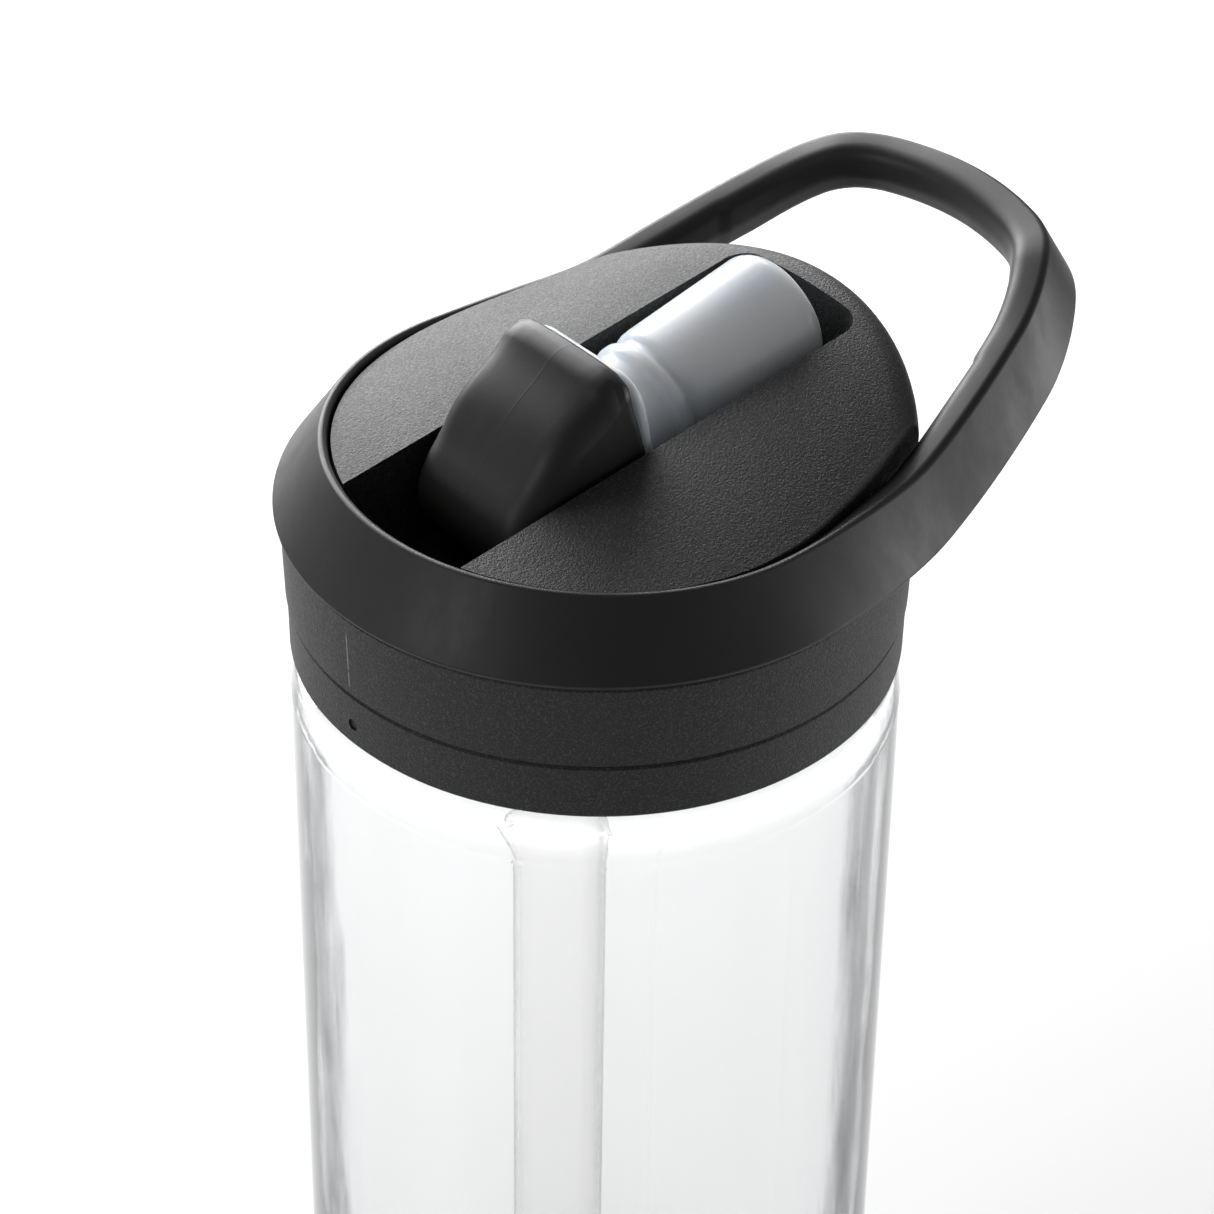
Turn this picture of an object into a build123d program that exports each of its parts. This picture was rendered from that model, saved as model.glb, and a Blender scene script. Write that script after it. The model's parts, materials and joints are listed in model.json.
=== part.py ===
"""Clear sports bottle with a screw lid, a flip-up straw spout and a rigid carry loop.

Millimetres. The origin is the centre of the bottle's base, +Z is up, and +X points from the
bottle's axis towards the carry loop. The lid's own heights are counted from its lower edge.
"""

from build123d import *

import os
from math import cos, hypot, radians, sin, sqrt, tan

# ---------------------------------------------------------------- driving dimensions
body_radius = 36.75  # outside of the clear bottle
body_wall = 1.9
lid_z = 206.0  # lower edge of the lid's skirt above the table
foot_inner_radius = 27.0  # the flat ring that the bottle stands on
foot_outer_radius = 31.0

neck_radius = 32.0
neck_bore_radius = 29.6
neck_top = 10.4

thread_pitch = 4.0
thread_depth = 1.35
thread_root = 1.8  # width of a turn at its root
thread_crest = 1.0
neck_thread_start = 2.4
neck_thread_turns = 1.25
lid_thread_turns = 1.0

skirt_radius = 36.75
skirt_top = 7.25
sleeve_radius = 35.3
sleeve_bore_radius = 33.9
plate_bottom = 12.4  # the lid's sealing plate
plate_top = 15.0

collar_radius = 37.3
ledge_top = 18.6  # the step that the carry loop's ring sits on
seat_radius = 31.0  # the cap's wall inside that ring
dome_radius = 37.1
arm_taper = 15.6  # degrees by which each side of the cap closes in towards the loop
shell_wall = 1.8
deck_wall = 2.0
deck_shoulder = 4.0

channel_half_width = 10.6
channel_end = 31.7
channel_wall = 1.6

hub_x = -12.6  # the spout's pivot, across the channel
hub_z = 24.3
hub_radius = 8.0
lever_half_width = 9.9
trunnion_radius = 2.5
trunnion_reach = 13.6
spout_tilt = 12.5  # degrees by which the closed spout rises towards the loop
spout_travel = 90.0

port_x = -5.5  # the straw, and the nipple that holds it
straw_radius = 5.75
straw_wall = 0.8
straw_foot = 10.0
port_angle = 299.0  # where the port meets the hub, round the pivot
port_radius = 2.8

valve_radius = 8.2
valve_tip = 42.4  # distance of the bite valve's tip from the pivot
valve_foot = 12.6

ring_radius = 32.3  # the crease along the top of the loop's ring
ring_level = 27.3  # height of that crease round the cap
arm_rise = 21.6  # degrees by which the arms rise towards the loop's tip

os.makedirs("parts", exist_ok=True)


# ---------------------------------------------------------------- planes and helpers
def lid_level(height):
    """The horizontal plane at a height above the lid's lower edge."""
    return Plane.XY.offset(lid_z + height)


def side_plane(height=0.0):
    """The upright plane through the bottle and its loop, with its origin on the bottle's axis."""
    return Plane(origin=(0, 0, height), x_dir=(1, 0, 0), z_dir=(0, -1, 0))


lid_side = side_plane(lid_z)


def around_hub(distance, degrees):
    """A point of the lid's side plane at a distance and an angle from the spout's pivot."""
    return (hub_x + distance * cos(radians(degrees)), hub_z + distance * sin(radians(degrees)))


def spout_plane(distance):
    """The plane across the closed spout's axis at a distance from the pivot."""
    x, z = around_hub(distance, spout_tilt)
    along = (cos(radians(spout_tilt)), 0, sin(radians(spout_tilt)))
    return Plane(origin=(x, 0, lid_z + z), x_dir=(0, 1, 0), z_dir=along)


def port_plane(distance, degrees):
    """The plane across a bore that leaves the pivot at an angle."""
    x, z = around_hub(distance, degrees)
    along = (cos(radians(degrees)), 0, sin(radians(degrees)))
    return Plane(origin=(x, 0, lid_z + z), x_dir=(0, 1, 0), z_dir=along)


def save(part, name):
    part.label = name
    export_step(part, f"parts/{name}.step")


def thread_turns(radius, outward, start, turns):
    """A trapezoid thread as a solid, rooted a little inside the wall at the given radius."""
    sign = 1 if outward else -1
    root = radius - sign * 0.15
    crest = radius + sign * thread_depth
    helix = Helix(pitch=thread_pitch, height=thread_pitch * turns, radius=radius)
    path = helix.moved(Location((0, 0, lid_z + start)))
    plane = Plane(origin=path @ 0, x_dir=(1, 0, 0), z_dir=path % 0)
    with BuildPart() as thread:
        with BuildSketch(plane):
            with BuildLine():
                Polyline(
                    (root - radius, -thread_root / 2),
                    (crest - radius, -thread_crest / 2),
                    (crest - radius, thread_crest / 2),
                    (root - radius, thread_root / 2),
                    close=True,
                )
            make_face()
        sweep(path=path, is_frenet=True)
    return thread.part


# ---------------------------------------------------------------- bottle
neck_thread = thread_turns(neck_radius, True, neck_thread_start, neck_thread_turns)

with BuildPart() as bottle_body:
    with BuildSketch(side_plane()):
        with BuildLine():
            # outside, from the middle of the raised base up to the rim
            ThreePointArc((0, 5.0), (15.0, 3.5), (foot_inner_radius, 0))
            Line((foot_inner_radius, 0), (foot_outer_radius, 0))
            TangentArc((foot_outer_radius, 0), (body_radius, 6.2), tangent=(1, 0.08))
            Line((body_radius, 6.2), (body_radius, lid_z - 7.0))
            Line((body_radius, lid_z - 7.0), (body_radius - 0.45, lid_z - 2.8))
            TangentArc(
                (body_radius - 0.45, lid_z - 2.8), (body_radius - 2.5, lid_z - 0.7), tangent=(-0.1, 1)
            )
            Line((body_radius - 2.5, lid_z - 0.7), (neck_radius + 0.6, lid_z - 0.6))
            Line((neck_radius + 0.6, lid_z - 0.6), (neck_radius, lid_z))
            Line((neck_radius, lid_z), (neck_radius, lid_z + neck_top - 0.5))
            Line((neck_radius, lid_z + neck_top - 0.5), (neck_radius - 0.5, lid_z + neck_top))
            # inside, down to the floor
            Line((neck_radius - 0.5, lid_z + neck_top), (neck_bore_radius + 0.4, lid_z + neck_top))
            Line((neck_bore_radius + 0.4, lid_z + neck_top), (neck_bore_radius, lid_z + neck_top - 0.4))
            Line((neck_bore_radius, lid_z + neck_top - 0.4), (neck_bore_radius, lid_z - 1.2))
            Spline(
                (neck_bore_radius, lid_z - 1.2),
                (neck_bore_radius + 2.6, lid_z - 3.4),
                (body_radius - body_wall, lid_z - 8.5),
                tangents=((0, -1), (0, -1)),
            )
            Line((body_radius - body_wall, lid_z - 8.5), (body_radius - body_wall, 7.4))
            Spline(
                (body_radius - body_wall, 7.4),
                (body_radius - 4.0, 3.6),
                (foot_outer_radius - 2.6, 2.6),
                (15.0, 6.3),
                (0, 7.9),
                tangents=((0, -1), (-1, 0)),
            )
            Line((0, 7.9), (0, 5.0))
        make_face()
    revolve(axis=Axis.Z)
    add(neck_thread)

save(bottle_body.part, "bottle_body")


# ---------------------------------------------------------------- threaded lid base
seal_inner = hub_radius + 0.3
seal_outer = hub_radius + 2.7
vent_x = 17.0
nipple_radius = straw_radius - straw_wall - 0.03
lid_thread = thread_turns(
    sleeve_bore_radius,
    False,
    neck_thread_start + thread_pitch / 2,
    lid_thread_turns,
)

with BuildPart() as lid_base:
    with BuildSketch(lid_side):
        with BuildLine():
            Polyline(
                (0, plate_bottom),
                (28.0, plate_bottom),
                (28.2, 9.2),
                (29.0, 9.2),
                (29.2, plate_bottom),
                (sleeve_bore_radius, plate_bottom),
                (sleeve_bore_radius, 1.6),
                (34.9, 0.9),
                (35.1, 0),
                (skirt_radius - 0.45, 0),
                (skirt_radius - 0.1, 0.4),
                (skirt_radius, skirt_top - 0.3),
                (skirt_radius - 0.3, skirt_top),
                (sleeve_radius, skirt_top),
                (sleeve_radius, plate_top),
                (0, plate_top),
                close=True,
            )
        make_face()
    revolve(axis=Axis.Z)
    add(lid_thread)
    # saddle that carries the seal under the hub
    with BuildSketch(lid_level(plate_top - 0.2)):
        with Locations((-8.2, 0)):
            Rectangle(10.4, 17.0)
    extrude(amount=3.2)
    with BuildSketch(lid_side):
        with Locations((hub_x, hub_z)):
            Circle(seal_outer)
    extrude(amount=7.5, both=True, mode=Mode.SUBTRACT)
    with BuildSketch(lid_side):
        with Locations((hub_x, hub_z)):
            Circle(hub_radius + 0.6)
    extrude(amount=12.0, both=True, mode=Mode.SUBTRACT)
    # nipple that the straw is pushed on to
    with BuildSketch(lid_level(1.0)):
        with Locations((port_x, 0)):
            Circle(nipple_radius)
    extrude(amount=plate_bottom - 1.0)
    with BuildSketch(lid_level(0.9)):
        with Locations((port_x, 0)):
            Circle(nipple_radius - 1.2)
    extrude(amount=plate_bottom - 0.4, mode=Mode.SUBTRACT)
    with BuildSketch(port_plane(hub_radius, port_angle)):
        Circle(port_radius)
    extrude(amount=6.2, mode=Mode.SUBTRACT)
    # seat of the air valve, with three air holes round its stem
    with BuildSketch(lid_level(plate_bottom - 0.1)):
        with Locations((vent_x, 0)):
            Circle(1.3)
            with PolarLocations(3.2, 3):
                Circle(0.7)
    extrude(amount=plate_top - plate_bottom + 0.3, mode=Mode.SUBTRACT)
    # alignment dimple on the skirt, on the side away from the loop
    with BuildSketch(Plane(origin=(-skirt_radius + 0.35, 0, lid_z + 3.1), z_dir=(-1, 0, 0))):
        Circle(0.75)
    extrude(amount=2.0, mode=Mode.SUBTRACT)

save(lid_base.part, "lid_base")


# ---------------------------------------------------------------- cap shell
with BuildPart() as deck_crown:
    # all that lies below the deck, which rises towards the loop and is crowned more strongly there
    for x, middle, sides in ((-42.0, 26.2, 23.8), (44.0, 37.9, 22.7)):
        with BuildSketch(Plane(origin=(x, 0, lid_z), x_dir=(0, 1, 0), z_dir=(1, 0, 0))):
            with BuildLine():
                ThreePointArc((-42, sides), (0, middle), (42, sides))
                Polyline((42, sides), (42, 0), (-42, 0), (-42, sides))
            make_face()
    loft(ruled=True)

with BuildSketch() as cap_outline:
    # the cap inside the loop's ring: round, with two straight sides that close in towards the loop
    Circle(seat_radius)
    with Locations((50, 0)):
        Circle(seat_radius - 50 * sin(radians(arm_taper)))
    make_hull()

channel_block = channel_half_width + channel_wall
with BuildPart() as cap_pockets:
    with BuildSketch(lid_level(plate_top)):
        add(cap_outline.sketch)
        offset(amount=-shell_wall)
        Circle(dome_radius - shell_wall, mode=Mode.INTERSECT)
        with Locations((channel_end + channel_wall - 40.0, 0)):
            Rectangle(80.0, 2 * channel_block, mode=Mode.SUBTRACT)
    extrude(amount=30)
    add(deck_crown.part.moved(Location((0, 0, -deck_wall))), mode=Mode.INTERSECT)

with BuildPart() as cap_shell:
    with BuildSketch(lid_side):
        with BuildLine():
            Polyline(
                (0, skirt_top + 0.2),
                (skirt_radius - 0.1, skirt_top + 0.2),
                (skirt_radius + 0.2, skirt_top + 0.5),
                (collar_radius, ledge_top - 0.3),
                (collar_radius - 0.2, ledge_top),
                (dome_radius, 45.0),
                (0, 45.0),
                close=True,
            )
        make_face()
    revolve(axis=Axis.Z)
    add(deck_crown.part, mode=Mode.INTERSECT)
    rim = cap_shell.edges().filter_by(lambda e: e.center().Z > lid_z + 22 and e.length > 5)
    fillet(rim, deck_shoulder)
    # step for the loop's ring
    with BuildSketch(lid_level(ledge_top)):
        Circle(45)
        add(cap_outline.sketch, mode=Mode.SUBTRACT)
    extrude(amount=30, mode=Mode.SUBTRACT)
    # hollow inside
    with BuildSketch(lid_level(skirt_top)):
        Circle(sleeve_radius + 0.05)
    extrude(amount=plate_top - skirt_top + 0.05, mode=Mode.SUBTRACT)
    add(cap_pockets.part, mode=Mode.SUBTRACT)
    # bosses for the spout's trunnions
    with BuildSketch(lid_side):
        with Locations((hub_x, hub_z)):
            Circle(4.6)
    extrude(amount=trunnion_reach + 1.4, both=True)
    # channel for the spout, open at the end away from the loop
    with BuildSketch(lid_level(plate_top)):
        with Locations(((channel_end - 32.0) / 2, 0)):
            Rectangle(channel_end + 32.0, 2 * channel_half_width)
        fillet(vertices().group_by(Axis.X)[-1], 3.0)
        with Locations((3.0, 0)):
            Circle(seat_radius + 3.05, mode=Mode.INTERSECT)
    extrude(amount=30, mode=Mode.SUBTRACT)
    with BuildSketch(lid_side):
        with Locations((hub_x, hub_z)):
            Circle(trunnion_radius + 0.05)
    extrude(amount=trunnion_reach + 0.3, both=True, mode=Mode.SUBTRACT)

save(cap_shell.part, "cap_shell")


# ---------------------------------------------------------------- carry loop
def smooth_step(value, start, end):
    """Rises smoothly from 0 at start to 1 at end."""
    t = min(1.0, max(0.0, (value - start) / (end - start)))
    return t * t * (3 - 2 * t)


def crease_height(x):
    """Height of the loop's crease above the lid's lower edge: level round the cap, then rising."""
    bend = x - 22.9
    rise = tan(radians(arm_rise)) * (bend + sqrt(bend**2 + 17.0)) / 2
    tip = 0.5 * smooth_step(x, 44.0, 54.0) - 1.9 * smooth_step(x, 53.0, 62.0)
    near_lift = 1.1 * smooth_step(-x, -8.0, 32.0)
    return ring_level + rise + tip + near_lift


# degrees by which the half loop runs past the XZ plane at both ends, before it is cut there
overlap_turn = 8.0
with BuildLine() as crease:
    # half of the crease seen from above, from the end away from the loop to the loop's tip
    ring = CenterArc((0, 0), ring_radius, 180 + overlap_turn, -92 - overlap_turn)
    arm = JernArc(start=ring @ 1, tangent=ring % 1, radius=144.5, arc_size=-17.5)
    shoulder = JernArc(start=arm @ 1, tangent=arm % 1, radius=28.8, arc_size=-25.2)
    corner = JernArc(start=shoulder @ 1, tangent=shoulder % 1, radius=15.0, arc_size=-27.6)
    tip_turn = 90 - 2 - 17.5 - 25.2 - 27.6
    tip_radius = (corner @ 1).Y / sin(radians(tip_turn))
    JernArc(start=corner @ 1, tangent=corner % 1, radius=tip_radius, arc_size=-tip_turn - overlap_turn)

crease_path = crease.wire()


def cap_gap(point):
    """Distance from a point of the crease inwards to the side of the cap."""
    if abs(point.Y) > point.X / tan(radians(arm_taper)):
        return hypot(point.X, point.Y) - seat_radius
    return point.X * sin(radians(arm_taper)) + point.Y * cos(radians(arm_taper)) - seat_radius


def loop_station(share):
    """The plane across the loop at a share of the crease's length, and how far it is arm and tip there.

    The plane's x points outwards and its y up.
    """
    point = crease_path @ share
    along = crease_path % share
    outward = Vector(-along.Y, along.X, 0)
    level = Vector(point.X, point.Y, lid_z + crease_height(point.X))
    plane = Plane(origin=level, x_dir=outward, z_dir=outward.cross(Vector(0, 0, 1)))
    return plane, point, smooth_step(point.X, 0.0, 27.0), smooth_step(point.X, 44.0, 60.0)


def between(ring_value, arm_value, tip_value, arm_share, tip_share):
    """A value that changes from ring to arm, and then to tip."""
    value = ring_value + (arm_value - ring_value) * arm_share
    return value + (tip_value - arm_value) * tip_share


station_shares = [i / 30 for i in range(31)]

with BuildPart() as carry_handle:
    for share in station_shares:
        plane, point, arm_share, tip_share = loop_station(share)
        ring_drop = crease_height(point.X) - ledge_top - 0.9
        outer = between(5.8, 4.0, 4.0, arm_share, tip_share)
        drop = between(ring_drop, 8.5, 6.9, arm_share, tip_share)
        inner_foot = between(ring_drop + 0.6, 6.8, 5.9, arm_share, tip_share)
        belly = between(0.0, 0.5, 0.5, arm_share, tip_share)
        inner = 4.3
        if point.X < 40:
            inner = min(cap_gap(point) - 0.25 - 0.5 * belly, inner)
        roll = between(0.8, 2.2, 2.2, arm_share, tip_share)
        with BuildSketch(plane):
            with BuildLine():
                Line((0, 0), (outer, -drop))
                Line((outer, -drop), (outer - 0.5, -drop - 0.6))
                Line((outer - 0.5, -drop - 0.6), (-inner + 0.5, -inner_foot))
                ThreePointArc(
                    (-inner + 0.5, -inner_foot),
                    (-inner - 0.02 - belly * 0.5, -(inner_foot + roll) / 2),
                    (-inner, -roll),
                )
                ThreePointArc(
                    (-inner, -roll),
                    (-inner * 0.62 - belly * 0.1, -roll * 0.36 + belly * 0.25),
                    (0, 0),
                )
            make_face()
    loft()
    split(bisect_by=Plane.XZ, keep=Keep.BOTTOM)
    mirror(about=Plane.XZ)

save(carry_handle.part, "carry_handle")


# ---------------------------------------------------------------- flip-up spout
lever_top = 41.9
front_angle = 90.0 + 45.5
slant = radians(front_angle)
# where the front face, tangent to the hub, reaches the top
front_top_x = hub_x + (hub_radius - (lever_top - hub_z) * sin(slant)) / cos(slant)
axis_lean = tan(radians(spout_tilt))
back_x = hub_x + valve_foot / cos(radians(spout_tilt))
under_z = 19.9
under_angle = 360.0 - 33.4

with BuildPart() as flip_spout:
    with BuildSketch(lid_side):
        with BuildLine():
            Line((front_top_x, lever_top), around_hub(hub_radius, front_angle))
            ThreePointArc(
                around_hub(hub_radius, front_angle),
                around_hub(hub_radius, 230),
                around_hub(hub_radius, under_angle),
            )
            Polyline(
                around_hub(hub_radius, under_angle),
                (back_x - (under_z - hub_z) * axis_lean, under_z),
                (back_x - (lever_top - hub_z) * axis_lean, lever_top),
                (front_top_x, lever_top),
            )
        make_face()
    extrude(amount=lever_half_width, both=True)
    # rounded top corners, seen along the bottle's X axis
    with BuildSketch(Plane(origin=(-60, 0, lid_z), x_dir=(0, 1, 0), z_dir=(1, 0, 0))):
        with BuildLine():
            Polyline((-lever_half_width, 33.0), (-lever_half_width, 10), (lever_half_width, 10))
            Line((lever_half_width, 10), (lever_half_width, 33.0))
            ThreePointArc((lever_half_width, 33.0), (9.35, 37.7), (7.3, 40.9))
            ThreePointArc((7.3, 40.9), (0, lever_top), (-7.3, 40.9))
            ThreePointArc((-7.3, 40.9), (-9.35, 37.7), (-lever_half_width, 33.0))
        make_face()
    extrude(amount=80, mode=Mode.INTERSECT)
    with BuildSketch(lid_side):
        with Locations((hub_x, hub_z)):
            Circle(trunnion_radius)
    extrude(amount=trunnion_reach, both=True)
    # socket for the stem and the passage through the hub
    with BuildSketch(spout_plane(6.0)):
        Circle(4.8)
    extrude(amount=20, mode=Mode.SUBTRACT)
    with BuildSketch(spout_plane(0.0)):
        Circle(port_radius)
    extrude(amount=8, mode=Mode.SUBTRACT)
    with BuildSketch(port_plane(-1.0, port_angle - spout_travel)):
        Circle(port_radius)
    extrude(amount=12, mode=Mode.SUBTRACT)

save(flip_spout.part, "flip_spout")

with BuildPart() as spout_stem:
    with BuildSketch(spout_plane(6.05)):
        Circle(4.75)
    extrude(amount=valve_foot - 6.0)
    with BuildSketch(spout_plane(valve_foot)):
        Circle(6.1)
    extrude(amount=25.0)
    with BuildSketch(spout_plane(6.0)):
        Circle(3.6)
    extrude(amount=40, mode=Mode.SUBTRACT)
    with BuildSketch(spout_plane(valve_foot + 3.0)):
        Circle(4.9)
    extrude(amount=30, mode=Mode.SUBTRACT)
    # notch in the free end
    with BuildSketch(spout_plane(valve_foot + 22.5)):
        Rectangle(20, 2.4)
    extrude(amount=4, mode=Mode.SUBTRACT)

save(spout_stem.part, "spout_stem")

# outside of the bite valve in front of its flange: distance from its foot and radius
valve_outline = [
    (0.05, 8.3),
    (1.3, 8.3),
    (2.2, 7.7),
    (3.4, 7.5),
    (6.4, 7.4),
    (7.0, 8.0),
    (8.0, 8.0),
    (8.6, 7.5),
    (9.6, 7.7),
    (10.8, valve_radius),
]
valve_length = valve_tip - valve_foot
flange_half_width = 9.4
flange_height = 19.6  # from 6.8 below the valve's axis to 12.8 above it
flange_centre = 3.0
tip_round = 3.0
x_dir = (cos(radians(spout_tilt)), 0, sin(radians(spout_tilt)))
foot_x, foot_z = around_hub(valve_foot, spout_tilt)
valve_side = Plane(origin=(foot_x, 0, lid_z + foot_z), x_dir=x_dir, z_dir=(0, -1, 0))

with BuildPart() as bite_valve:
    with BuildSketch(valve_side):
        with BuildLine():
            Polyline(*valve_outline, (valve_length - tip_round, valve_radius))
            RadiusArc(
                (valve_length - tip_round, valve_radius),
                (valve_length, valve_radius - tip_round),
                tip_round,
            )
            Polyline(
                (valve_length, valve_radius - tip_round),
                (valve_length, 0),
                (valve_length - 3.6, 0),
                (valve_length - 3.6, 6.2),
                (0.05, 6.2),
                (0.05, 8.3),
            )
        make_face()
    revolve(axis=Axis(valve_side.origin, valve_side.x_dir))
    # flange that lies against the lever's back
    with BuildSketch(spout_plane(valve_foot + 0.05)):
        with Locations((0, flange_centre)):
            RectangleRounded(2 * flange_half_width, flange_height, 3.6)
        Circle(6.2, mode=Mode.SUBTRACT)
    extrude(amount=1.2)
    # slit that opens when the valve is bitten
    with BuildSketch(spout_plane(valve_tip - 5.0)):
        Rectangle(8.0, 0.3)
    extrude(amount=8, mode=Mode.SUBTRACT)

save(bite_valve.part, "bite_valve")


# ---------------------------------------------------------------- seals, air valve and straw
with BuildPart() as spout_seal:
    with BuildSketch(lid_side):
        with Locations((hub_x, hub_z)):
            Circle(seal_outer - 0.02)
            Circle(seal_inner, mode=Mode.SUBTRACT)
        with BuildLine():
            Polyline(
                (hub_x, hub_z),
                around_hub(20, 274),
                around_hub(20, 299),
                around_hub(20, 324),
                close=True,
            )
        make_face(mode=Mode.INTERSECT)
    extrude(amount=7.4, both=True)
    with BuildSketch(port_plane(0, port_angle)):
        Circle(port_radius)
    extrude(amount=20, mode=Mode.SUBTRACT)

save(spout_seal.part, "spout_seal")

with BuildPart() as lid_gasket:
    with BuildSketch(lid_side):
        with BuildLine():
            Polyline(
                (29.75, neck_top + 0.3),
                (30.05, neck_top + 0.05),
                (33.1, neck_top + 0.05),
                (33.4, neck_top + 0.3),
                (33.4, plate_bottom - 0.05),
                (29.75, plate_bottom - 0.05),
                close=True,
            )
        make_face()
    revolve(axis=Axis.Z)

save(lid_gasket.part, "lid_gasket")

with BuildPart() as vent_valve:
    with BuildSketch(Plane(origin=(vent_x, 0, lid_z), x_dir=(1, 0, 0), z_dir=(0, -1, 0))):
        with BuildLine():
            Polyline(
                (0, plate_top + 1.5),
                (1.0, plate_top + 1.3),
                (1.9, plate_top + 0.05),
                (1.2, plate_top + 0.05),
                (1.2, plate_bottom - 0.05),
                (5.0, plate_bottom - 0.05),
                (5.2, plate_bottom - 0.3),
                (0, plate_bottom - 1.1),
                close=True,
            )
        make_face()
    revolve(axis=Axis((vent_x, 0, 0), (0, 0, 1)))

save(vent_valve.part, "vent_valve")

straw_top = 11.2
with BuildPart() as straw:
    with BuildSketch(Plane.XY.offset(straw_foot)):
        with Locations((port_x, 0)):
            Circle(straw_radius)
            Circle(straw_radius - straw_wall, mode=Mode.SUBTRACT)
    extrude(amount=lid_z + straw_top - straw_foot)
    # slanted foot, so that the straw can't seal itself on the bottle's floor
    with BuildSketch(side_plane()):
        Polygon(
            (port_x - 8, straw_foot - 1),
            (port_x + 8, straw_foot - 1),
            (port_x + 8, straw_foot + 6.5),
            align=None,
        )
    extrude(amount=10, both=True, mode=Mode.SUBTRACT)

save(straw.part, "straw")
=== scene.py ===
"""Looks of a clear sports bottle with a grained black screw lid, a carry loop and a flip-up spout."""

import json
import math

import bmesh
import bpy
from mathutils import Matrix, Vector


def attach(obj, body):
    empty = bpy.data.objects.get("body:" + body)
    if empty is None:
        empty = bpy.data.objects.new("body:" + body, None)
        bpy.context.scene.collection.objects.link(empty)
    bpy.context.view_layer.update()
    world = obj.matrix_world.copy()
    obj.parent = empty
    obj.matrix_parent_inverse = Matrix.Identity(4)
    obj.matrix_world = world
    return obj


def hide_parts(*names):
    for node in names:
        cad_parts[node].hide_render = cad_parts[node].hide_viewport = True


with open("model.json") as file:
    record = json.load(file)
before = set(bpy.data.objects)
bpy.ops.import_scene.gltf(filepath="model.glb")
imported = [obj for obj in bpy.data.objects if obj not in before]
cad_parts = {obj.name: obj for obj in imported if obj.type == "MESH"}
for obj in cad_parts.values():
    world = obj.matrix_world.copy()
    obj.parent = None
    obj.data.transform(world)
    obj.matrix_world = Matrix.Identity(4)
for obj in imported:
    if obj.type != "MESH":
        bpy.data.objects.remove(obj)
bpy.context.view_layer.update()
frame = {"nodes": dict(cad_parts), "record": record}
nodes = frame["nodes"]

MM = 0.001


# ---------------------------------------------------------------- node helpers
class Tree:
    """A small wrapper that adds nodes to a material by name."""

    def __init__(self, name):
        self.material = bpy.data.materials.new(name)
        self.material.use_nodes = True
        self.tree = self.material.node_tree
        self.tree.nodes.clear()
        self.output = self.add("ShaderNodeOutputMaterial")

    def add(self, kind, **settings):
        node = self.tree.nodes.new(kind)
        for key, value in settings.items():
            setattr(node, key, value)
        return node

    def link(self, source, target):
        self.tree.links.new(source, target)

    def coordinates(self):
        """The point on the object, in metres."""
        return self.add("ShaderNodeTexCoord").outputs["Object"]

    def axes(self):
        """The x, y and z of that point."""
        node = self.add("ShaderNodeSeparateXYZ")
        self.link(self.coordinates(), node.inputs[0])
        return node.outputs[0], node.outputs[1], node.outputs[2]

    def noise(self, scale, detail, roughness, stretch=None):
        """Noise in the object's own coordinates, which stretch can scale along each axis."""
        node = self.add("ShaderNodeTexNoise")
        node.inputs["Scale"].default_value = scale
        node.inputs["Detail"].default_value = detail
        node.inputs["Roughness"].default_value = roughness
        vector = self.coordinates()
        if stretch:
            mapping = self.add("ShaderNodeMapping")
            mapping.inputs["Scale"].default_value = stretch
            self.link(vector, mapping.inputs["Vector"])
            vector = mapping.outputs["Vector"]
        self.link(vector, node.inputs["Vector"])
        return node.outputs["Fac"]

    def span(self, value, low, high, to_low, to_high):
        """The value carried from the range low to high over to the range to_low to to_high."""
        node = self.add("ShaderNodeMapRange")
        node.inputs["From Min"].default_value = low
        node.inputs["From Max"].default_value = high
        node.inputs["To Min"].default_value = to_low
        node.inputs["To Max"].default_value = to_high
        self.link(value, node.inputs["Value"])
        return node.outputs["Result"]

    def maths(self, operation, first, second):
        node = self.add("ShaderNodeMath", operation=operation)
        for socket, value in zip(node.inputs, (first, second)):
            if isinstance(value, (int, float)):
                socket.default_value = value
            else:
                self.link(value, socket)
        return node.outputs[0]

    def blend(self, factor, first, second):
        """A mix of two colours, each a tuple or another node's output."""
        node = self.add("ShaderNodeMix", data_type="RGBA")
        self.link(factor, node.inputs["Factor"])
        for name, value in (("A", first), ("B", second)):
            socket = [s for s in node.inputs if s.name == name and s.type == "RGBA"][0]
            if isinstance(value, tuple):
                socket.default_value = (*value, 1.0)
            else:
                self.link(value, socket)
        return [s for s in node.outputs if s.type == "RGBA"][0]

    def ramp(self, factor, *stops):
        """A colour ramp through (place, colour) stops."""
        node = self.add("ShaderNodeValToRGB")
        elements = node.color_ramp.elements
        while len(elements) < len(stops):
            elements.new(1.0)
        for element, (place, colour) in zip(elements, stops):
            element.position = place
            element.color = (*colour, 1.0)
        self.link(factor, node.inputs["Fac"])
        return node.outputs["Color"]

    def bump(self, height, strength, distance):
        node = self.add("ShaderNodeBump")
        node.inputs["Strength"].default_value = strength
        node.inputs["Distance"].default_value = distance
        self.link(height, node.inputs["Height"])
        return node.outputs["Normal"]

    def principled(self, colour, roughness, normal=None, **constants):
        """The surface: constants are named after its sockets, with _ for a space."""
        node = self.add("ShaderNodeBsdfPrincipled")
        for key, value in constants.items():
            node.inputs[key.replace("_", " ")].default_value = value
        for key, value in (("Base Color", colour), ("Roughness", roughness), ("Normal", normal)):
            if value is None:
                continue
            if isinstance(value, tuple):
                node.inputs[key].default_value = (*value, 1.0)
            elif isinstance(value, float):
                node.inputs[key].default_value = value
            else:
                self.link(value, node.inputs[key])
        self.link(node.outputs[0], self.output.inputs["Surface"])


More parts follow.
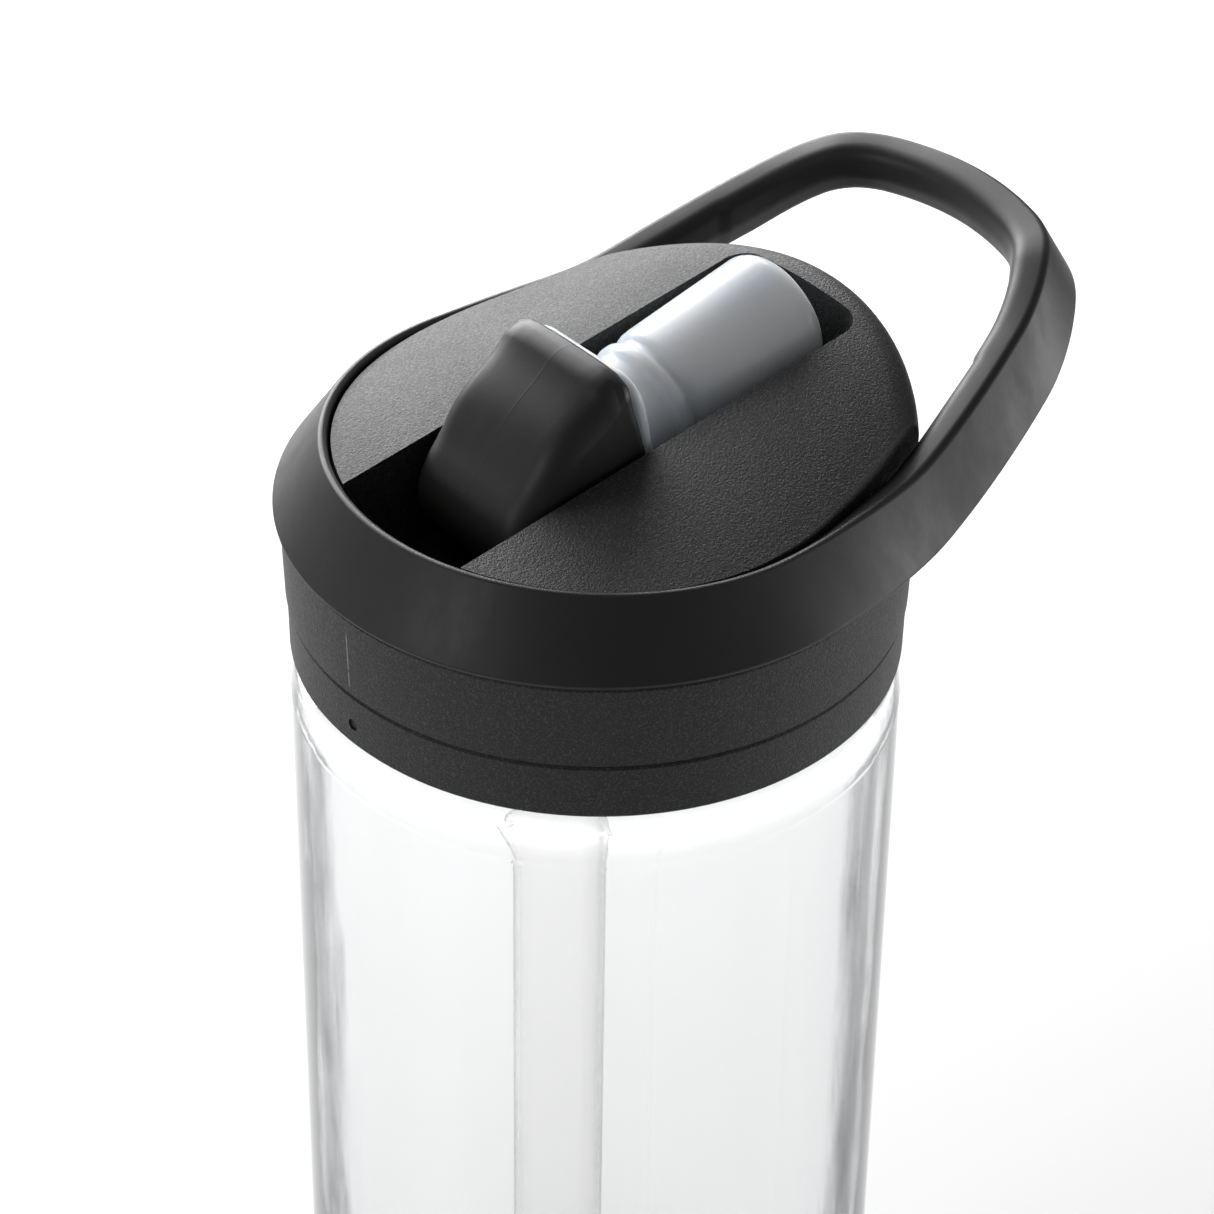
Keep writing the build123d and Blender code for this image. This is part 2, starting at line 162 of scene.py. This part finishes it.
def mould_ridge_and_highlight(t):
    """1 along the mould's parting line, down the collar's side away from the loop: a fine ridge in the
    bump, painted pale grey as the highlight on that ridge.
    """
    core, half_width = 0.00006, 0.00013
    collar_low, collar_high, far_side = 0.2138, 0.2233, -0.034
    x, y, z = t.axes()
    line = t.span(t.maths("ABSOLUTE", y, 0.0), core, half_width, 1, 0)
    above, below = t.maths("GREATER_THAN", z, collar_low), t.maths("LESS_THAN", z, collar_high)
    here = t.maths("MULTIPLY", t.maths("MULTIPLY", above, below), t.maths("LESS_THAN", x, far_side))
    # noise breaks the ridge and its painted highlight into patches
    patchy = t.span(t.noise(420, 2.0, 0.5), 0.40, 0.50, 0, 1)
    return t.maths("MULTIPLY", t.maths("MULTIPLY", line, patchy), here)


def grained_black():
    """Spark-eroded charcoal plastic of the deck, collar and skirt."""
    t = Tree("grained_black")
    pits = t.noise(3000, 2.0, 0.6)
    fleck = t.noise(4000, 1.0, 0.5)
    broad = t.noise(45, 3.0, 0.6)
    base = t.blend(t.span(broad, 0.3, 0.7, 0, 1), (0.014, 0.0145, 0.014), (0.018, 0.0185, 0.018))
    speckled = t.blend(t.span(fleck, 0.50, 0.72, 0, 1), base, (0.055, 0.056, 0.054))
    line = mould_ridge_and_highlight(t)
    # painted highlight: the parting line's ridge is painted pale grey where light would catch it
    colour = t.blend(line, speckled, (0.30, 0.30, 0.29))
    rough = t.span(t.maths("ADD", pits, t.maths("MULTIPLY", broad, 0.4)), 0.5, 0.9, 0.52, 0.66)
    height = t.maths("ADD", t.maths("ADD", pits, t.maths("MULTIPLY", fleck, 0.5)), line)
    t.principled(colour, rough, t.bump(height, 0.6, 0.00016), IOR=1.5)
    return t.material


def satin_black():
    """Smooth satin plastic of the carry loop and the spout's lever."""
    t = Tree("satin_black")
    broad = t.noise(38, 3.0, 0.55)
    fine = t.noise(3800, 2.0, 0.5)
    scuff = t.noise(210, 5.0, 0.7, (1, 1, 0.15))
    colour = t.blend(t.span(broad, 0.3, 0.7, 0, 1), (0.013, 0.0135, 0.0125), (0.017, 0.0175, 0.0165))
    rough = t.span(t.maths("ADD", scuff, t.maths("MULTIPLY", broad, 0.5)), 0.55, 0.95, 0.44, 0.54)
    t.principled(colour, rough, t.bump(fine, 0.25, 0.00003), IOR=1.5)
    return t.material


def clear_plastic():
    """Clear copolyester of the bottle, with painted dark shade in wavy streaks where it is seen edge on,
    standing in for the dark refractions along its sides.
    """
    t = Tree("clear_body")
    flow = t.noise(14, 2.0, 0.4, (1, 1, 0.12))
    edge_shade_streaks = t.noise(110, 4.0, 0.6, (1, 1, 0.22))
    haze = t.noise(160, 3.0, 0.6)
    # painted shade: the colour darkens to near black where the bottle is seen edge on, standing in for
    # the dark refractions there
    facing = t.add("ShaderNodeLayerWeight").outputs["Facing"]
    edge = t.maths("ADD", facing, t.span(edge_shade_streaks, 0.3, 0.7, -0.08, 0.08))
    colour = t.ramp(
        edge,
        (0.25, (0.950, 0.955, 0.957)),
        (0.55, (0.915, 0.922, 0.925)),
        (0.68, (0.85, 0.86, 0.87)),
        (0.74, (0.26, 0.27, 0.285)),
        (0.79, (0.015, 0.016, 0.018)),
    )
    rough = t.span(haze, 0.45, 0.75, 0.0, 0.025)
    t.principled(colour, rough, t.bump(flow, 0.35, 0.0012), IOR=1.53, Transmission_Weight=1.0)
    return t.material


def frosted_silicone():
    """Bluish translucent silicone of the bite valve, clouded in lighter and darker patches: partly the
    silicone's own mottling, partly painted light and shade standing in for the stem that lies inside it.
    """
    t = Tree("frosted_silicone")
    cloud = t.noise(75, 1.0, 0.4, (0.7, 1.0, 1.0))
    fine = t.noise(2400, 2.0, 0.5)
    # partly painted light and shade: the cloud's lighter and darker patches stand in for the stem seen
    # through the silicone
    colour = t.blend(t.span(cloud, 0.38, 0.62, 0, 1), (0.69, 0.755, 0.85), (0.93, 0.96, 1.0))
    rough = t.span(cloud, 0.3, 0.7, 0.26, 0.32)
    t.principled(
        colour, rough, t.bump(fine, 0.12, 0.00003),
        IOR=1.41, Transmission_Weight=0.2, Subsurface_Weight=0.5,
        Subsurface_Radius=(1, 1, 1), Subsurface_Scale=0.003, Sheen_Weight=0.4,
    )
    return t.material


def milky_tube():
    """Stiff translucent plastic of the straw and the stem."""
    t = Tree("milky_tube")
    cloud = t.noise(90, 3.0, 0.6, (1, 1, 0.3))
    colour = t.blend(t.span(cloud, 0.3, 0.7, 0, 1), (0.985, 0.985, 0.98), (0.995, 0.995, 0.99))
    rough = t.span(cloud, 0.3, 0.8, 0.16, 0.24)
    t.principled(colour, rough, t.bump(cloud, 0.15, 0.0002), IOR=1.13, Transmission_Weight=1.0)
    return t.material


def grey_silicone():
    """Opaque soft grey silicone of the hidden seals."""
    t = Tree("grey_silicone")
    cloud = t.noise(140, 3.0, 0.6)
    fine = t.noise(2600, 2.0, 0.5)
    colour = t.blend(t.span(cloud, 0.3, 0.7, 0, 1), (0.44, 0.46, 0.47), (0.53, 0.55, 0.56))
    t.principled(colour, t.span(fine, 0.3, 0.7, 0.42, 0.56), t.bump(fine, 0.3, 0.00005), IOR=1.42)
    return t.material


finishes = {
    "grained_black": grained_black(),
    "satin_black": satin_black(),
    "clear_body": clear_plastic(),
    "frosted_silicone": frosted_silicone(),
    "milky_tube": milky_tube(),
    "grey_silicone": grey_silicone(),
}
for entry in frame["record"]["subparts"]:
    node = nodes[entry["node"]]
    node.data.materials.clear()
    node.data.materials.append(finishes[entry["material_slot"]])
    for polygon in node.data.polygons:
        polygon.material_index = 0


# ---------------------------------------------------------------- mesh helpers
LID = 206.0  # height of the lid's lower edge, in millimetres like all shapes below


def grid_object(name, rows, material, closed=False, caps=False):
    """A smooth mesh from rings of points in millimetres, all with the same number of points.

    The last ring joins the first when closed, and caps fills the first and the last one.
    """
    count = len(rows[0])
    points = [tuple(c * MM for c in point) for row in rows for point in row]
    faces = []
    for r in range(len(rows) if closed else len(rows) - 1):
        upper, lower = r * count, ((r + 1) % len(rows)) * count
        for c in range(count):
            d = (c + 1) % count
            faces.append((upper + c, upper + d, lower + d, lower + c))
    if caps:
        faces.append(tuple(reversed(range(count))))
        faces.append(tuple(range((len(rows) - 1) * count, len(rows) * count)))
    mesh = bpy.data.meshes.new(name)
    mesh.from_pydata(points, [], faces)
    mesh.validate()
    work = bmesh.new()
    work.from_mesh(mesh)
    bmesh.ops.remove_doubles(work, verts=work.verts, dist=1e-6)
    bmesh.ops.recalc_face_normals(work, faces=work.faces)
    work.to_mesh(mesh)
    work.free()
    for polygon in mesh.polygons:
        polygon.use_smooth = True
    obj = bpy.data.objects.new(name, mesh)
    mesh.materials.append(material)
    bpy.context.scene.collection.objects.link(obj)
    return obj


def smooth_step(value, start, end):
    """0 before start and 1 after end, with a smooth rise in between."""
    t = min(1.0, max(0.0, (value - start) / (end - start)))
    return t * t * (3 - 2 * t)


def rounded_outline(corners, steps):
    """A closed outline round (x, y, radius) corners, as points with normals: (x, y, nx, ny).

    A radius that doesn't fit on the sides next to its corner comes out smaller.
    """
    outline = []
    count = len(corners)
    turn = sum(
        corners[i][0] * corners[(i + 1) % count][1] - corners[(i + 1) % count][0] * corners[i][1]
        for i in range(count)
    )
    side = 1.0 if turn > 0 else -1.0
    for i, (x, y, radius) in enumerate(corners):
        before, after = corners[i - 1], corners[(i + 1) % count]
        ax, ay = x - before[0], y - before[1]
        bx, by = after[0] - x, after[1] - y
        la, lb = math.hypot(ax, ay), math.hypot(bx, by)
        ax, ay, bx, by = ax / la, ay / la, bx / lb, by / lb
        bend = math.atan2(ax * by - ay * bx, ax * bx + ay * by)
        reach = min(radius * math.tan(abs(bend) / 2), 0.48 * la, 0.48 * lb)
        sx, sy = x - ax * reach, y - ay * reach
        real = reach / max(math.tan(abs(bend) / 2), 1e-6)
        hand = 1.0 if bend > 0 else -1.0
        cx, cy = sx - ay * real * hand, sy + ax * real * hand
        start = math.atan2(sy - cy, sx - cx)
        for k in range(steps + 1):
            angle = start + bend * k / steps
            nx, ny = math.cos(angle) * hand * side, math.sin(angle) * hand * side
            outline.append((cx + real * math.cos(angle), cy + real * math.sin(angle), nx, ny))
    return outline


# ---------------------------------------------------------------- carry loop
# Heights here and in the lever are above the lid's lower edge.
RING_RADIUS = 32.3
RING_END = 88  # degrees from +X at which the ring passes into the first of the loop's arcs
LOOP_ARCS = ((144.5, 17.5), (28.8, 25.2), (15.0, 27.6))  # (radius, degrees)
STATION = 0.8  # distance between the loop's cross-sections
SEAT_RADIUS = 31.0  # of the cap's outline inside the ring
ARM_TAPER = math.radians(15.6)  # of the cap's two straight sides
LEDGE = 18.6  # height of the collar's ledge, which the ring stands over
RING_LEVEL = 27.3  # height of the crease on the ring
RISE_START, RISE_SLOPE, RISE_BLEND = 22.9, 0.395, 17.0  # where, how steeply and how softly it rises


def crease_plan():
    """Half of the loop's crease from above: (x, y, heading), from the back of the ring to the tip."""
    points = []
    for k in range(180 - RING_END + 1):
        angle = math.radians(180 - k)
        x, y = RING_RADIUS * math.cos(angle), RING_RADIUS * math.sin(angle)
        points.append((x, y, angle - math.pi / 2))
    x, y, heading = points[-1]
    last_turn = RING_END - sum(turn for _, turn in LOOP_ARCS)
    for radius, turn in LOOP_ARCS + ((None, last_turn),):
        turn = math.radians(turn)
        radius = radius or y / math.cos(heading)
        cx, cy = x + radius * math.sin(heading), y - radius * math.cos(heading)
        steps = max(8, int(radius * turn / STATION))
        for k in range(1, steps + 1):
            now = heading - turn * k / steps
            points.append((cx - radius * math.sin(now), cy + radius * math.cos(now), now))
        x, y, heading = points[-1]
    return points


def crease_height(x):
    """Height of the crease: level on the ring, then a ramp with a soft start, down again at the tip."""
    bend = x - RISE_START
    rise = RISE_SLOPE * (bend + math.sqrt(bend * bend + RISE_BLEND)) / 2
    tip = 0.5 * smooth_step(x, 44, 54) - 1.9 * smooth_step(x, 53, 62)
    back = 1.1 * smooth_step(-x, -8, 32)
    return RING_LEVEL + rise + tip + back


def cap_gap(x, y):
    """Distance from a point of the crease to the cap's outline: a circle with two tapering sides."""
    if y > x / math.tan(ARM_TAPER):
        return math.hypot(x, y) - SEAT_RADIUS
    return x * math.sin(ARM_TAPER) + y * math.cos(ARM_TAPER) - SEAT_RADIUS


def loop_section(x, y):
    """Cross-section of the loop from its crease, outwards and upwards, as it changes along X."""
    arm, tip = smooth_step(x, 0, 27), smooth_step(x, 44, 60)

    def at(ring_value, arm_value, tip_value):
        value = ring_value + (arm_value - ring_value) * arm
        return value + (tip_value - arm_value) * tip

    ring_drop = crease_height(x) - LEDGE - 0.9
    outer, drop = at(5.8, 4.0, 4.0), at(ring_drop, 8.5, 6.9)
    foot = at(ring_drop + 0.6, 7.3, 6.4)
    inner = 4.3
    if x < 40:  # beside the cap, where the band ends just short of it
        inner = min(cap_gap(x, y) - 0.3, inner)
    return rounded_outline(
        [
            (0.0, 0.0, at(0.55, 1.1, 1.1)),
            (outer, -drop, at(0.35, 0.5, 0.5)),
            (outer - 0.5, -drop - 0.6, 0.35),
            (-inner + at(0.1, 0.9, 0.9), -foot, at(0.3, 1.6, 1.6)),
            (-inner, -at(4.0, 4.4, 4.0), at(1.0, 3.0, 3.0)),
            (-inner + at(0.1, 0.35, 0.35), -at(0.5, 0.55, 0.55), at(0.45, 2.0, 2.0)),
        ],
        7,
    )


def make_loop():
    """The section carried along the crease, out on one side of the bottle and back on the other."""
    half = crease_plan()
    stations = [(*station, 1) for station in half]
    stations += [(*station, -1) for station in reversed(half[1:-1])]
    rows = []
    for x, y, heading, side in stations:
        nx, ny = -math.sin(heading), math.cos(heading)
        top = LID + crease_height(x)
        section = loop_section(x, y)
        rows.append([(x + nx * out, (y + ny * out) * side, top + rise) for out, rise, _, _ in section])
    return grid_object("carry_loop", rows, finishes["satin_black"], closed=True)


carry_loop = make_loop()
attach(carry_loop, "lid")
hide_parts("carry_handle")


# ---------------------------------------------------------------- flip-up lever
HUB = (-12.6, 24.3)  # X and height of the axis
HUB_RADIUS = 8.0
HALF_WIDTH = 9.9
LEVER_TOP, LEVER_UNDER = 41.7, 19.9
LEVER_BACK = 12.6  # from the hub's axis, square to the lever's back face
TILT = math.radians(12.5)
FRONT = math.radians(135.5)  # direction that the lever's front face looks in
HUB_START = math.radians(-33.4)  # where the hub's round meets the underside
PARTING = -0.015  # the parting line stands this far proud
CORNER_STEPS = 10


def lever_profile():
    """Outline of the lever from the side: (x, z, nx, nz, edge rounding)."""
    reach = HUB_RADIUS - (LEVER_TOP - HUB[1]) * math.sin(FRONT)
    front_x = HUB[0] + reach / math.cos(FRONT)

    def back_x(z):
        return HUB[0] + LEVER_BACK / math.cos(TILT) - (z - HUB[1]) * math.tan(TILT)

    profile = []
    for k in range(34):
        angle = HUB_START + (FRONT - math.tau - HUB_START) * k / 34
        edge = 0.5 + 3.1 * smooth_step(k, 12, 33)
        nx, nz = math.cos(angle), math.sin(angle)
        profile.append((HUB[0] + HUB_RADIUS * nx, HUB[1] + HUB_RADIUS * nz, nx, nz, edge))

    corners = [
        (front_x, LEVER_TOP, 4.2),
        (back_x(LEVER_TOP), LEVER_TOP, 1.25),
        (back_x(LEVER_UNDER), LEVER_UNDER, 0.8),
    ]
    hub_side = [(-20.0, 21.0, 0.0), (-21.0, 26.0, 0.0)]  # only lead the sides of the corners past the hub
    rounds = rounded_outline(corners + hub_side, CORNER_STEPS)
    size = CORNER_STEPS + 1
    front, back, under = rounds[:size], rounds[size : 2 * size], rounds[2 * size : 3 * size]

    nx, nz = math.cos(FRONT), math.sin(FRONT)
    foot_x, foot_z = HUB[0] + HUB_RADIUS * nx, HUB[1] + HUB_RADIUS * nz
    for k in range(16):
        share = k / 16
        crown = 0.8 * math.sin(math.pi * share) ** 2
        x = foot_x + (front[0][0] - foot_x) * share + nx * crown
        z = foot_z + (front[0][1] - foot_z) * share + nz * crown
        profile.append((x, z, nx, nz, 3.6 - 1.4 * share))
    profile += [(*point, 2.2) for point in front]
    profile += [(*point, 1.1) for point in back]
    x, z, nx, nz = back[-1]
    for k in range(1, 12):
        share = k / 12
        dx, dz = (under[0][0] - x) * share, (under[0][1] - z) * share
        profile.append((x + dx, z + dz, nx, nz, 1.1 - 0.4 * share))
    profile += [(*point, 0.7) for point in under]
    profile.append((-3.0, LEVER_UNDER, 0.0, -1.0, 0.5))
    return profile


def lever_rows(profile):
    """Rows from one side of the lever to its middle: the inset and the y of each profile point."""
    turns = [math.radians(90 * k / 8) for k in range(9)]
    shares = [0.82, 0.6, 0.4, 0.2, 0.035, 0.015, 0.0]
    edges = [edge for *_, edge in profile]
    rows = []
    for a in turns:
        rows.append([(e * (1 - math.sin(a)), HALF_WIDTH - e * (1 - math.cos(a))) for e in edges])
    for share in shares:
        inset = PARTING if share == 0 else 0.0
        rows.append([(inset, (HALF_WIDTH - e) * share) for e in edges])
    return rows


def make_lever():
    """The profile swept across the width, with rounded sides, a slight crown and a fine parting line."""
    profile = lever_profile()
    half = lever_rows(profile)
    rows = half + [[(inset, -y) for inset, y in row] for row in reversed(half[:-1])]
    points = []
    for row in rows:
        line = []
        for (x, z, nx, nz, _), (inset, y) in zip(profile, row):
            wide = abs(y) / HALF_WIDTH
            inset = inset + 0.35 * wide**2 * max(0.0, -nx)
            px, pz = x - nx * inset, z - nz * inset
            drop = 0.3 * wide**2 + 1.6 * max(0.0, (abs(y) - 6.2) / 3.7) ** 2.2
            pz -= drop * smooth_step(pz, 32, 40)
            line.append((px, y, LID + pz))
        points.append(line)
    return grid_object("spout_lever", points, finishes["satin_black"], caps=True)


def add_trunnions(lever):
    """Two short pins on the lever's sides, inside the cap's bosses."""
    segments = 28
    pin = ((2.5, 9.5), (2.5, 13.4), (2.3, 13.6), (0.0, 13.6))  # (radius, distance from the middle)
    work = bmesh.new()
    work.from_mesh(lever.data)
    for side in (-1, 1):
        rings = []
        for radius, y in pin:
            ring = []
            for k in range(segments):
                angle = math.tau * k / segments
                x, z = HUB[0] + radius * math.cos(angle), LID + HUB[1] + radius * math.sin(angle)
                ring.append(work.verts.new((x * MM, side * y * MM, z * MM)))
            rings.append(ring)
        for upper, lower in zip(rings, rings[1:]):
            for k in range(segments):
                after = (k + 1) % segments
                work.faces.new((upper[k], upper[after], lower[after], lower[k]))
        work.faces.new(rings[0])
    bmesh.ops.remove_doubles(work, verts=work.verts, dist=1e-6)
    bmesh.ops.recalc_face_normals(work, faces=work.faces)
    work.to_mesh(lever.data)
    work.free()


lever = make_lever()
add_trunnions(lever)
for polygon in lever.data.polygons:  # the flat sides and the pins' inner ends stay flat
    polygon.use_smooth = len(polygon.vertices) < 10
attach(lever, "spout")
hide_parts("flip_spout")


# ---------------------------------------------------------------- bite valve
def spout_point(along, up, across):
    """A point given along the folded spout's axis from its pivot, square to it upwards, and across."""
    x = HUB[0] + along * math.cos(TILT) - up * math.sin(TILT)
    z = LID + HUB[1] + along * math.sin(TILT) + up * math.cos(TILT)
    return (x, across, z)


FLANGE = (9.4, 13.2, 7.0, 3.6)  # half width, reach above and below the axis, corner radius


def flange_radius(angle):
    """Distance from the axis to the flange's rounded-rectangle rim in one direction."""
    half_width, upper, lower, corner = FLANGE
    ux, uy = math.cos(angle), math.sin(angle)
    height = upper if uy > 0 else lower
    low, high = 0.0, 30.0
    for _ in range(40):
        middle = (low + high) / 2
        dx = abs(ux * middle) - (half_width - corner)
        dy = abs(uy * middle) - (height - corner)
        outside = math.hypot(max(dx, 0), max(dy, 0)) + min(max(dx, dy), 0) - corner
        if outside > 0:
            high = middle
        else:
            low = middle
    return low


def make_valve():
    """Flange, neck with two step rings, and the barrel with its rounded tip, hollow inside.

    The flange's rows are (distance along the axis, growth of its rim), all others (distance, radius).
    """
    foot, tip, barrel, tip_round = 12.65, 42.4, 8.2, 2.6
    flange = [(foot, -0.35), (foot + 0.35, -0.02), (foot + 0.9, 0.0), (foot + 1.25, -0.32)]
    outer = [
        (13.95, 8.35),
        (14.2, 7.95),
        (14.8, 7.7),
        (15.6, 7.55),
        (17.0, 7.5),
        (18.4, 7.5),
        (18.9, 7.6),
        (19.3, 7.95),
        (19.7, 8.1),
        (20.5, 8.1),
        (20.9, 7.95),
        (21.2, 7.65),
        (21.5, 7.5),
        (21.9, 7.5),
        (22.2, 7.65),
        (22.6, 8.0),
        (23.1, 8.15),
        (24.0, barrel),
        (28.0, barrel),
        (34.0, barrel),
        (tip - tip_round, barrel),
    ]
    for k in range(1, 9):
        angle = math.radians(90 * k / 8)
        rise = tip_round * math.sin(angle)
        outer.append((tip - tip_round + rise, barrel - tip_round + tip_round * math.cos(angle)))
    outer += [(tip, 4.0), (tip, 2.0), (tip, 0.0)]
    inner = [(tip - 2.2, 0.0), (tip - 2.2, 3.0), (tip - 2.3, 5.4), (tip - 3.0, 6.3)]
    inner += [(tip - 4.2, 6.6), (30.0, 6.6), (25.0, 6.5), (20.0, 6.2), (foot, 6.15)]
    segments = 120
    angles = [math.tau * k / segments for k in range(segments)]
    rings = [(along, [flange_radius(a) + growth for a in angles]) for along, growth in flange]
    rings += [(along, [radius] * segments) for along, radius in outer + inner]
    rows = []
    for along, radii in rings:
        rows.append([spout_point(along, r * math.sin(a), r * math.cos(a)) for a, r in zip(angles, radii)])
    return grid_object("mouthpiece", rows, finishes["frosted_silicone"], closed=True)


mouthpiece = make_valve()
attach(mouthpiece, "spout")
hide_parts("bite_valve")


# ---------------------------------------------------------------- floor, light and camera
def pale_floor():
    """Matt studio floor that comes out just white from the photo's angle."""
    t = Tree("pale_floor")
    t.principled((0.76, 0.76, 0.76), 0.8)
    return t.material


reach = 3.0
corners = [(-reach, -reach, 0), (reach, -reach, 0), (reach, reach, 0), (-reach, reach, 0)]
floor_mesh = bpy.data.meshes.new("floor")
floor_mesh.from_pydata(corners, [], [(0, 1, 2, 3)])
floor_mesh.materials.append(pale_floor())
floor = bpy.data.objects.new("floor", floor_mesh)
bpy.context.scene.collection.objects.link(floor)


def soft_box(name, place, aim, width, height, power):
    """A rectangular area light in one place, turned to face another."""
    light = bpy.data.lights.new(name, "AREA")
    light.shape = "RECTANGLE"
    light.size, light.size_y, light.energy = width, height, power
    obj = bpy.data.objects.new(name, light)
    obj.location = place
    toward = Vector(aim) - Vector(place)
    obj.rotation_euler = toward.to_track_quat("-Z", "Y").to_euler()
    bpy.context.scene.collection.objects.link(obj)


lid_centre = (0.0, 0.0, 0.23)
soft_box("back_box", (0.30, 0.86, 0.56), (0.05, 0.10, 0.15), 1.0, 0.5, 17.5)
soft_box("top_box", (0.10, 0.72, 1.10), lid_centre, 0.5, 0.5, 2.6)
soft_box("left_box", (-0.78, 0.58, 0.20), lid_centre, 0.4, 0.3, 0.5)
soft_box("side_box", (-0.88, 0.06, 0.62), lid_centre, 0.3, 0.3, 1.3)
soft_box("right_box", (0.88, -0.56, 0.18), lid_centre, 0.5, 0.28, 3.8)

world = bpy.data.worlds.new("studio")
world.use_nodes = True
background = world.node_tree.nodes["Background"]
background.inputs["Color"].default_value = (1, 1, 1, 1)
background.inputs["Strength"].default_value = 0.17
bpy.context.scene.world = world
bpy.context.scene.view_settings.view_transform = "Standard"

# The camera that the photo was taken with, solved from the lid's edge and the body's two sides.
camera_place = Vector((-0.2580, -0.2987, 0.4984))
forward = Vector((0.5289, 0.6084, -0.5917)).normalized()
roll = math.radians(0.81)
level = forward.cross(Vector((0, 0, 1))).normalized()
upright = level.cross(forward)
right = level * math.cos(roll) + upright * math.sin(roll)
up = upright * math.cos(roll) - level * math.sin(roll)
turn = Matrix((right, up, -forward)).transposed().to_4x4()

camera_data = bpy.data.cameras.new("camera")
camera_data.lens = 121.55
camera_data.sensor_width = 36.0
camera_data.clip_start, camera_data.clip_end = 0.01, 20
camera = bpy.data.objects.new("camera", camera_data)
camera.matrix_world = Matrix.Translation(camera_place) @ turn
bpy.context.scene.collection.objects.link(camera)
bpy.context.scene.camera = camera
